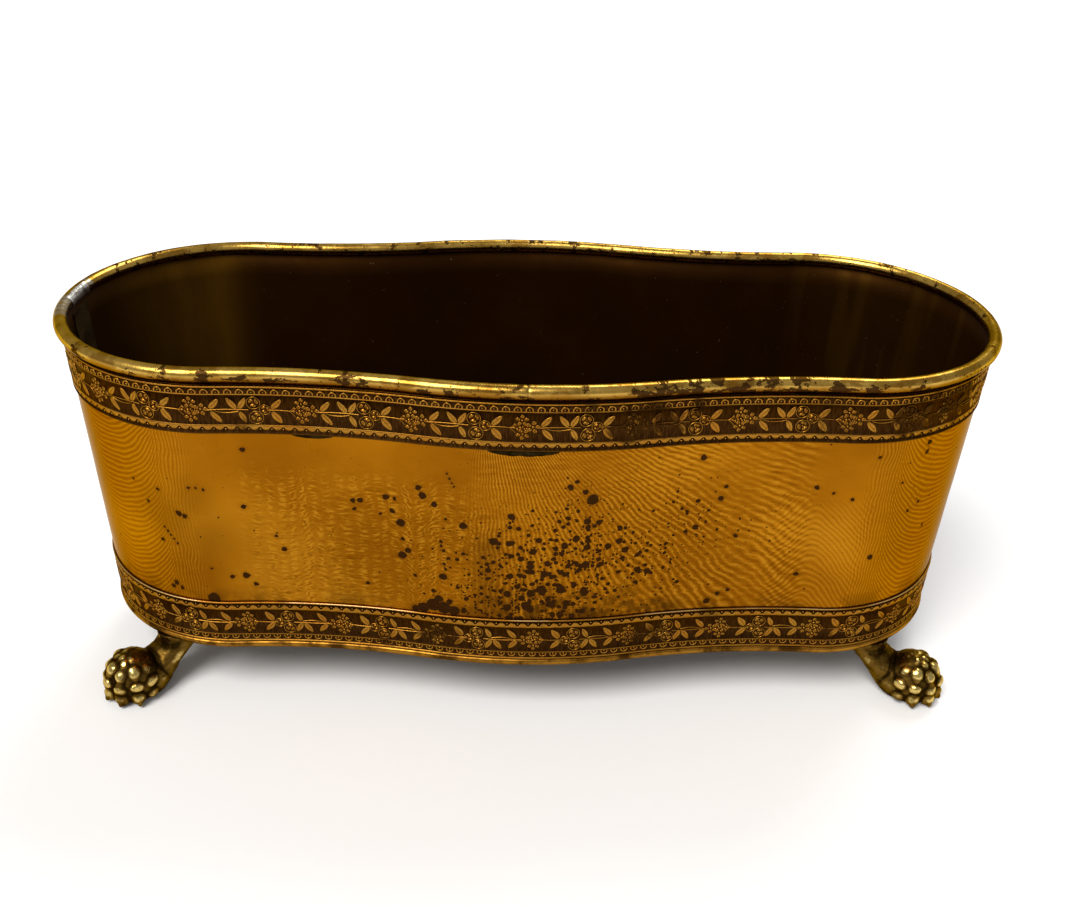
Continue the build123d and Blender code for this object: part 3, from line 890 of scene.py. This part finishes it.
def flower_spray(relief, start, middle, period):
    """One length of the running pattern: leaves, three roses, stem, four blossoms and leaves."""

    def at(along, up):
        return (start + along * period / 41.4, middle + up)

    def curve(first, bend, last, steps=8):
        share = np.linspace(0, 1, steps)[:, None]
        first, bend, last = (np.array(at(*point)) for point in (first, bend, last))
        return (1 - share) ** 2 * first + 2 * share * (1 - share) * bend + share**2 * last

    for first, bend, last in (
        ((-1.6, 0.0), (4.0, 0.5), (13.2, 0.1)),
        ((0.6, -0.3), (4.5, -1.9), (9.6, -0.5)),
        ((20.6, 0.1), (24.5, 0.3), (29.0, -0.1)),
        ((28.4, -0.1), (29.6, 0.4), (30.4, 2.0)),
        ((28.4, -0.1), (29.6, -0.8), (30.6, -2.3)),
        ((28.4, -0.1), (29.4, 0.0), (30.2, 0.1)),
        ((38.4, 0.0), (40.0, 0.0), (41.0, 0.0)),
    ):
        relief.ridge(curve(first, bend, last), 0.34, 0.34)
    for base, tip, width in (
        ((8.9, 0.2), (5.2, 5.3), 2.6),
        ((9.5, 0.2), (12.4, 5.4), 2.5),
        ((9.8, -0.5), (12.2, -5.6), 2.4),
        ((21.6, 0.4), (25.8, 4.8), 2.6),
        ((21.8, -0.4), (25.6, -5.6), 3.1),
        ((40.0, 0.3), (43.9, 4.8), 2.6),
        ((40.4, -0.5), (44.6, -5.5), 2.6),
    ):
        relief.leaf(at(*base), at(*tip), width)
    for centre, radius, turn in (((15.2, 3.1), 2.6, 0.4), ((16.0, -3.1), 2.75, 1.3), ((19.4, 0.3), 2.1, 2.2)):
        relief.rose(at(*centre), radius, turn)
    for centre, radius, turn in (
        ((33.0, 3.0), 2.7, 0.3),
        ((31.2, 0.2), 1.8, 1.0),
        ((33.2, -2.9), 2.7, 0.8),
        ((37.0, 0.2), 2.9, 0.1),
        ((34.2, 0.1), 1.4, 0.5),
    ):
        relief.blossom(at(*centre), radius, turn)


def border_rows(relief, length):
    """The row of arches under the bead and the scalloped row above the edge line."""
    arches = round(length / 4.3)
    step = length / arches
    arch = directions(np.linspace(-0.12 * pi, 1.12 * pi, 12))
    for index in range(arches):
        middle = (index + 0.5) * step
        relief.ridge(np.array([middle, arch_row_foot + 0.55]) + 1.3 * arch, 0.62, 0.36)
        relief.dome((middle, arch_row_foot + 0.55), (0.42, 0.42), 0.34)
        relief.dome((middle + step / 2, edge_line_width + 1.35), (0.40, 0.40), 0.30)
    columns = 10 * arches
    along = np.arange(columns) * length / columns
    phase = np.mod(along / step, 1.0) - 0.5
    drop = np.sqrt(np.clip(1 - (phase / 0.36) ** 2, 0, 1))
    top = edge_line_width + scallop_row_width
    foot = top - 1.05 - 1.35 * drop
    ones = np.ones(columns)
    levels = np.stack([top * ones, (top - 0.2) * ones, foot + 0.2, foot], axis=1)
    rise = np.array([0.0, 1.0, 1.0, 0.0])
    flat = np.stack(np.broadcast_arrays(along[:, None], levels), axis=2)
    relief.grid(flat, relief_foot + 0.26 * rise, rise, round_rows=True)


def strip_section(edge_relief_and_highlight):
    """Section of the strip's own sheet: up, out and how raised it looks, from the foot to the top. An edge
    value above 1.02 paints a highlight along the edge.
    """
    return np.array([
        (0.0, 0.04, 0.0),
        (0.0, 0.62, edge_relief_and_highlight),
        (0.18, 0.80, edge_relief_and_highlight),
        (edge_line_width - 0.18, 0.80, 0.38),
        (edge_line_width, strip_sheet, 0.0),
        (9.0, strip_sheet, 0.0),
        (inner_line_foot, strip_sheet, 0.0),
        (inner_line_foot + 0.12, 0.78, 0.9),
        (arch_row_foot - 0.12, 0.78, 0.9),
        (arch_row_foot, strip_sheet, 0.0),
        (top_bead_foot, strip_sheet, 0.0),
        (top_bead_foot + 0.12, 0.80, 0.5),
        (top_bead_foot + 0.30, 0.97, 0.9),
        (strip_top - 0.30, strip_bead, 1.0),
        (strip_top - 0.06, 0.82, 0.8),
        (strip_top, 0.5, 0.3),
        (strip_top, 0.04, 0.0),
    ])


def make_strip(node, name, look, first_motif, turned):
    """One embossed strip round the pot. The lower one is the same strip upside down."""
    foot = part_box(node)[0].z
    middle_inset = wall_inset(foot + strip_width / 2)
    length = arc_lengths(middle_inset).sum() / MM
    relief = Relief()
    border_rows(relief, length)
    for index in range(motifs):
        flower_spray(relief, first_motif + index * length / motifs, field_middle, length / motifs)
    # The lower strip's top edge looks raised past 1.02, which paints a highlight along it.
    section = strip_section(1.25 if turned else 0.38)
    around = 960
    along = np.arange(around) * length / around
    up, out, raised = section.T
    flat = np.stack(np.broadcast_arrays(along[:, None], up), axis=2)
    relief.grid(flat, out, raised, round_rows=True)
    flat = np.concatenate(relief.points)
    if turned:
        flat = flat * np.array([-1, -1, 1]) + np.array([0, strip_top, 0])
    rear = length / 2 - strip_joint_x / MM
    flat[:, 0] = np.mod(flat[:, 0] + length - rear, length) + rear - length
    height = foot + flat[:, 1] * MM
    plan, normal = on_outline(flat[:, 0] * MM, middle_inset)
    out = middle_inset - wall_inset(height, flat[:, 2] * MM)
    points = np.concatenate([plan + out[:, None] * normal, height[:, None]], axis=1)
    faces = [tuple(face) for group in relief.faces for face in group]
    faces = [face for face in faces if np.ptp(flat[list(face), 0]) < length / 2]
    strip = make_piece(name, points, faces, look, node)
    set_attributes(strip, along=flat[:, 0] * MM, up=height, raised=np.concatenate(relief.raised))


def make_solder_run(node, name, look, seed):
    """Old solder that ran out under the upper strip: a row of low uneven lumps."""
    low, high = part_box(node)
    middle = (low.x + high.x) / 2
    half = (high.x - low.x) / 2
    drop = high.z - low.z
    distances = np.linspace(middle - half, middle + half, 90)
    share = np.linspace(0, 1, 14)
    along = distances[:, None]
    ends = np.sqrt(np.clip(1 - ((along - middle) / half) ** 2, 0, 1))
    uneven = 1 + 0.28 * lumps(along, 0.0, 0.0035, seed)
    heights = high.z - np.clip(drop * ends * uneven, 0, drop) * share
    swell = np.sin(pi * share) ** 0.6
    out = 0.85 * MM * ends * swell * (0.85 + 0.3 * lumps(along, heights, 0.0016, seed + 2))
    insets = wall_inset(heights, np.clip(out, 0, 0.88 * MM) - 0.02 * MM)
    make_sweep(name, distances, insets, heights, look, node, "dark_solder")


def make_base_bead():
    """The half-round bead round the foot of the wall."""
    around = 900
    distances = np.arange(around) * round_lip / around
    radius = (bead_high.z - bead_low.z) / 2
    out = bead_high.x - (tip_x - wall_inset(bead_high.z))
    turn = np.linspace(-pi / 2, pi / 2, 11)
    wear = 1 - 0.05 * (1 + lumps(distances[:, None], 0.01 * np.sin(turn), 0.012, 21.0))
    insets = wall_inset(bead_high.z) - out * np.cos(turn) * wear
    heights = bead_low.z + radius + radius * np.sin(turn)
    make_sweep(
        "base_bead_worn", distances, insets, heights,
        bead_look(), "base_bead", "strip_brass", round_rows=True, round_columns=True,
    )


# ---- Feet ----

# Ankle's levels, in millimetres: height, how far ahead of the stud, half length and half breadth.
ankle_levels = (
    (3.0, 16.8, 9.6, 8.8),
    (7.0, 14.8, 10.6, 9.4),
    (12.0, 10.8, 10.6, 9.0),
    (16.0, 5.0, 9.2, 8.6),
    (19.0, 1.5, 8.8, 8.4),
    (21.0, 0.1, 9.1, 8.6),
    (23.0, -0.6, 9.8, 9.0),
    (25.0, -1.0, 10.4, 9.4),
)
paw_middle = np.array([22.8, 0.0, 0.0])
paw_balls = (((-0.6, 0, 8.6), (11.6, 12.0, 11.6)), ((-5.5, 0, 7.6), (10.6, 11.2, 9.6)))
# Each toe, with how far its knuckles are staggered, and the turn of the knuckles at the sides.
toes = ((-76.0, -0.5), (-38.0, 0.7), (0.0, -0.5), (38.0, 0.7), (76.0, -0.5))
side_turn = 112.0
# Balls from the toe's root to its claw: reach, height, half sizes, dip in degrees, and how much of the
# stagger goes on to the reach and the height.
toe_balls = (
    (3.4, 16.8, (4.2, 2.5, 2.6), 16, 0, 0),
    (7.2, 13.6, (4.2, 3.1, 3.4), 46, 0, 0),
    (8.7, 9.0, (3.3, 3.3, 4.8), 8, 0, 0),
    (9.8, 4.9, (3.1, 3.3, 4.2), 0, 0, 0),
    (3.4, 18.1, (2.8, 2.3, 1.9), 16, 1, -0.4),
    (7.8, 15.0, (3.4, 3.1, 2.5), 46, 0.4, -1),
    (10.6, 9.6, (2.2, 3.1, 2.6), 10, 0, -1),
    (11.9, 4.8, (1.4, 2.1, 1.8), 0, 0, 0),
    (11.8, 3.0, (1.3, 1.1, 2.3), -14, 0, 0),
)
side_balls = (
    (7.6, 15.2, (3.2, 3.0, 2.3), 42, 0, 0),
    (10.7, 10.2, (2.2, 3.6, 3.1), 14, 0, 0),
    (10.8, 4.8, (1.9, 3.2, 2.8), 0, 0, 0),
)
# Which way each foot lies from the middle, and how far it is turned from the pot's length, in degrees.
foot_turns = {
    "front_left": (-1, -1, 38.0),
    "front_right": (1, -1, 26.0),
    "rear_left": (-1, 1, 32.0),
    "rear_right": (1, 1, 32.0),
}


def add_ball(shape, centre, size, turn=0.0, dip=0.0):
    """Adds an ellipsoid, in millimetres, turned about the upright and with its far end dipped."""
    turned = Matrix.Rotation(turn, 4, "Z") @ Matrix.Rotation(dip, 4, "Y")
    stretched = Matrix.Diagonal((*(part * MM for part in size), 1.0))
    matrix = Matrix.Translation(Vector(centre) * MM) @ turned @ stretched
    bmesh.ops.create_icosphere(shape, subdivisions=4, radius=1.0, matrix=matrix)


def add_toe(shape, degrees_round, balls, stagger=0.0):
    """Adds a row of balls from the paw's middle outwards."""
    turn = radians(degrees_round)
    ahead = np.array([cos(turn), sin(turn), 0.0])
    for reach, height, size, dip, reach_share, height_share in balls:
        at = paw_middle + (reach + reach_share * stagger) * ahead
        add_ball(shape, at + (0, 0, height + height_share * stagger), size, turn, radians(dip))


def add_ankle(shape):
    """Adds the ankle: a smooth tube through its levels, closed at both ends."""
    levels = np.array(ankle_levels)
    heights = np.linspace(levels[0, 0], levels[-1, 0], 24)
    turns = np.linspace(0, 2 * pi, 40, endpoint=False)
    rings = []
    for height in heights:
        ahead, long, wide = (np.interp(height, levels[:, 0], levels[:, part]) for part in (1, 2, 3))
        flat = [(ahead + long * cos(turn), wide * sin(turn)) for turn in turns]
        rings.append([shape.verts.new((x * MM, y * MM, height * MM)) for x, y in flat])
    for lower, upper in zip(rings, rings[1:]):
        for index in range(len(turns)):
            after = (index + 1) % len(turns)
            shape.faces.new((lower[index], lower[after], upper[after], upper[index]))
    shape.faces.new(rings[0][::-1])
    shape.faces.new(rings[-1])


def make_foot_shape():
    """A cast lion paw in its own frame: stud axis at the origin, toes along +X, floor at zero."""
    shape = bmesh.new()
    add_ankle(shape)
    for offset, size in paw_balls:
        add_ball(shape, paw_middle + offset, size)
    for degrees_round, stagger in toes:
        add_toe(shape, degrees_round, toe_balls, stagger)
    for degrees_round in (-side_turn, side_turn):
        add_toe(shape, degrees_round, side_balls)
    mesh = bpy.data.meshes.new("foot_shape")
    shape.to_mesh(mesh)
    shape.free()
    holder = bpy.data.objects.new("foot_shape", mesh)
    bpy.context.scene.collection.objects.link(holder)
    remesh = holder.modifiers.new("remesh", "REMESH")
    remesh.mode = "VOXEL"
    remesh.voxel_size = 0.36 * MM
    smooth = holder.modifiers.new("smooth", "SMOOTH")
    smooth.factor = 0.5
    smooth.iterations = 8
    bpy.context.view_layer.update()
    solid = bpy.data.meshes.new_from_object(holder.evaluated_get(bpy.context.evaluated_depsgraph_get()))
    bpy.data.objects.remove(holder)
    return solid


def read_values(items, key, width, kind=float):
    """One property of a mesh's vertices or edges, an item a row."""
    values = np.empty(width * len(items), kind)
    items.foreach_get(key, values)
    return values.reshape(-1, width)


def smooth_points(points, edges, rounds):
    """Each point moved to the middle of its neighbours, several times over."""
    links = np.bincount(edges.ravel(), minlength=len(points))[:, None]
    for _ in range(rounds):
        total = np.zeros_like(points)
        np.add.at(total, edges[:, 0], points[edges[:, 1]])
        np.add.at(total, edges[:, 1], points[edges[:, 0]])
        points = total / links
    return points


def make_feet(look):
    """The four feet, cast from one pattern and turned on their studs as in the CAD."""
    solid = make_foot_shape()
    points = read_values(solid.vertices, "co", 3)
    normals = read_values(solid.vertices, "normal", 3)
    edges = read_values(solid.edges, "vertices", 2, np.int64)
    faces = [tuple(face.vertices) for face in solid.polygons]
    proud = 0.0
    for rounds, reach in ((60, 0.55 * MM), (12, 0.14 * MM)):
        away = ((points - smooth_points(points, edges, rounds)) * normals).sum(axis=1)
        proud = proud + 0.5 * np.clip(away / reach, -1, 1)
    rough = np.array([
        noise.noise(Vector(point) * 260) * 0.30 + noise.noise(Vector(point) * 620) * 0.14 for point in points
    ])
    points = points + normals * (MM * rough)[:, None]
    points[:, 2] = np.clip(points[:, 2], 0.0, plate_low.z)
    raised = 0.5 + 0.5 * proud
    # The paint darkens towards the floor. Painted shade darkens the top of the ankle, where it goes in under
    # the base plate.
    raised = raised * np.clip(0.35 + points[:, 2] / (9 * MM), 0, 1)
    raised = raised * np.clip(0.30 + (plate_low.z - points[:, 2]) / (2.0 * MM), 0, 1)
    for corner, (x_sign, y_sign, splay) in foot_turns.items():
        stud_low, stud_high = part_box(f"foot_stud_{corner}")
        centre = (stud_low + stud_high) / 2
        angle = radians(splay)
        forward = np.array([x_sign * cos(angle), y_sign * sin(angle)])
        side = np.array([-forward[1], forward[0]])
        placed = points.copy()
        placed[:, :2] = points[:, :1] * forward + points[:, 1:2] * side + np.array([centre.x, centre.y])
        foot = make_piece(f"paw_{corner}", placed, faces, look, f"foot_{corner}")
        set_attributes(foot, raised=raised)


def dress_cad_nodes():
    """Materials for the CAD pieces that keep their shape."""
    fixings = ("foot_stud", "foot_washer", "foot_nut")
    for names, *settings in (
        ("base_plate", "plate_patina", (0.030, 0.016, 0.005), (0.11, 0.060, 0.016), 0.7, 0.38, 60.0),
        ("wall_seam_strap", "strap_patina", (0.035, 0.020, 0.006), (0.12, 0.075, 0.022), 0.7, 0.34, 90.0),
        (fixings, "old_steel", (0.10, 0.085, 0.075), (0.36, 0.34, 0.32), 0.95, 0.30, 320.0),
        ("base_seam_solder", "seam_solder", (0.05, 0.045, 0.032), (0.24, 0.23, 0.20), 0.8, 0.36, 150.0),
        ("rim_wire", "hidden_wire", (0.10, 0.055, 0.018), (0.22, 0.13, 0.04), 0.8, 0.4, 200.0),
    ):
        look = dull_look(*settings)
        for name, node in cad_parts.items():
            if name.startswith(names):
                node.data.materials.clear()
                node.data.materials.append(look)


# ---- Stage: floor, lights and camera ----


def make_stage():
    """A plain pale floor and soft studio light."""
    half = 6.0
    corners = [(-half, -half, 0), (half, -half, 0), (half, half, 0), (-half, half, 0)]
    look = Look("floor_paper")
    grain = look.noise(look.place(), 220.0, 3.0)
    colour = look.mix(grain, (0.955, 0.955, 0.955), (0.975, 0.975, 0.975))
    floor = make_piece("floor", corners, [(0, 1, 2, 3)], look.finish(colour, 0.0, 0.85, ()))
    world = bpy.data.worlds.new("studio")
    world.use_nodes = True
    background = world.node_tree.nodes["Background"]
    background.inputs["Color"].default_value = (1.0, 0.99, 0.975, 1.0)
    background.inputs["Strength"].default_value = 0.40
    bpy.context.scene.world = world
    for name, place, strength, breadth, warmth in (
        ("key", (-0.50, -0.65, 1.10), 2.6, 34.0, (1.0, 0.98, 0.95)),
        ("back", (0.35, 0.80, 1.00), 1.2, 30.0, (0.98, 0.99, 1.0)),
    ):
        light = bpy.data.lights.new(name, "SUN")
        light.energy = strength
        light.angle = radians(breadth)
        light.color = warmth
        lamp = bpy.data.objects.new(name, light)
        lamp.location = place
        lamp.rotation_euler = Vector(place).to_track_quat("Z", "Y").to_euler()
        bpy.context.scene.collection.objects.link(lamp)


def make_camera():
    """A camera that looks down on the front from a little to the left, rolled slightly."""
    azimuth = radians(-2.069)
    elevation = radians(29.559)
    roll = radians(1.886)
    distance = 0.54045
    target = Vector((2.26 * MM, 0.0, 87.54 * MM))
    back = Vector((sin(azimuth) * cos(elevation), -cos(azimuth) * cos(elevation), sin(elevation)))
    level = Vector((cos(azimuth), sin(azimuth), 0.0))
    upward = back.cross(level)
    right = level * cos(roll) + upward * sin(roll)
    upright = upward * cos(roll) - level * sin(roll)
    data = bpy.data.cameras.new("camera")
    data.sensor_width = 36.0
    data.lens = 41.36
    data.clip_start = 0.01
    camera = bpy.data.objects.new("camera", data)
    turn = Matrix((right, upright, back)).transposed().to_4x4()
    camera.matrix_world = Matrix.Translation(target + back * distance) @ turn
    bpy.context.scene.collection.objects.link(camera)
    bpy.context.scene.camera = camera


make_camera()
make_stage()
make_wall()
make_rim()
make_rim_repair()
upper_look = strip_look("upper_strip_brass", upper_worn)
lower_look = strip_look("lower_strip_brass", lower_worn)
make_strip("upper_band", "upper_band_embossed", upper_look, -37.6, False)
make_strip("lower_band", "lower_band_embossed", lower_look, -34.0, True)
dark_solder = (0.010, 0.006, 0.002), (0.036, 0.024, 0.008)
dark_solder = dull_look("dark_solder", *dark_solder, 1.0, 0.45, 300.0, patina_edge)
for run_node, run_seed in (("upper_band_solder_centre", 31.0), ("upper_band_solder_left", 37.0)):
    make_solder_run(run_node, f"{run_node}_lumps", dark_solder, run_seed)
make_base_bead()
make_feet(cast_look())
dress_cad_nodes()

bpy.context.scene.view_settings.view_transform = "Standard"
